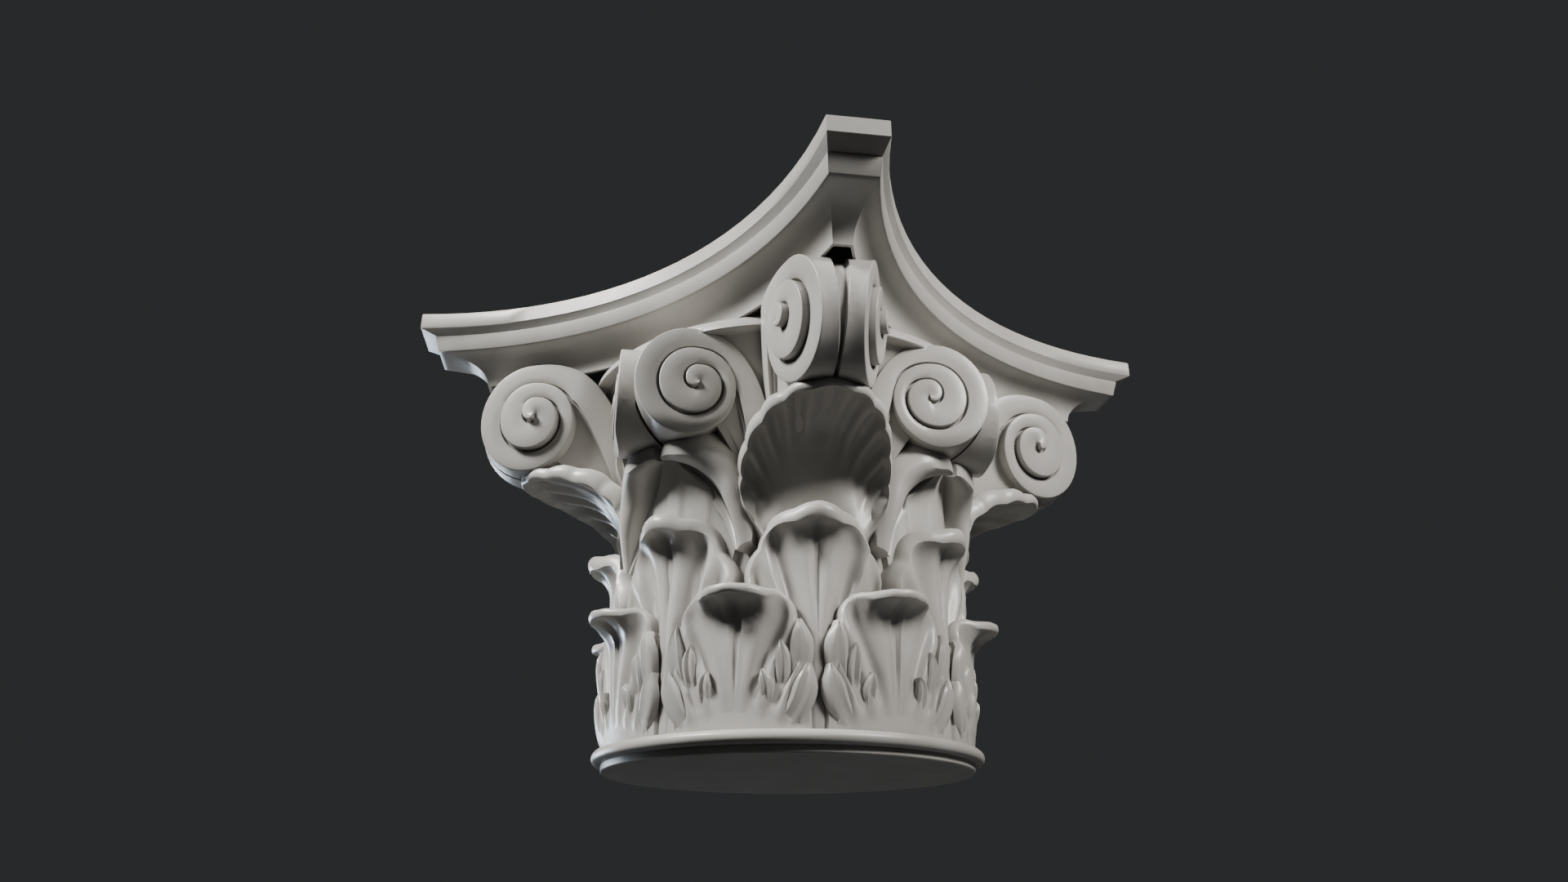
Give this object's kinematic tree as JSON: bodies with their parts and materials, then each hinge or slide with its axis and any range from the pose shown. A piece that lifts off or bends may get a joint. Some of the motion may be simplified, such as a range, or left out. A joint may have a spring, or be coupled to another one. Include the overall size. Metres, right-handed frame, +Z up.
{
  "type": "column capital",
  "caption": "Carved column capital with tiers of curling leaves, spiral scrolls and a moulded abacus with hollow sides; sits on a round shaft and carries a beam.",
  "frame": {"origin": "centre of the flat round underside, on the axis of the column", "axes": "+Z up along the axis of the column; +X and +Y point at the middles of two hollow sides, so the horns stand over the diagonals"},
  "size_m": [0.5014, 0.5014, 0.3892],
  "materials": {
    "stone": "smooth pale warm grey, satin"
  },
  "bodies": {
    "root": {"capital": "stone"}
  },
  "joints": []
}
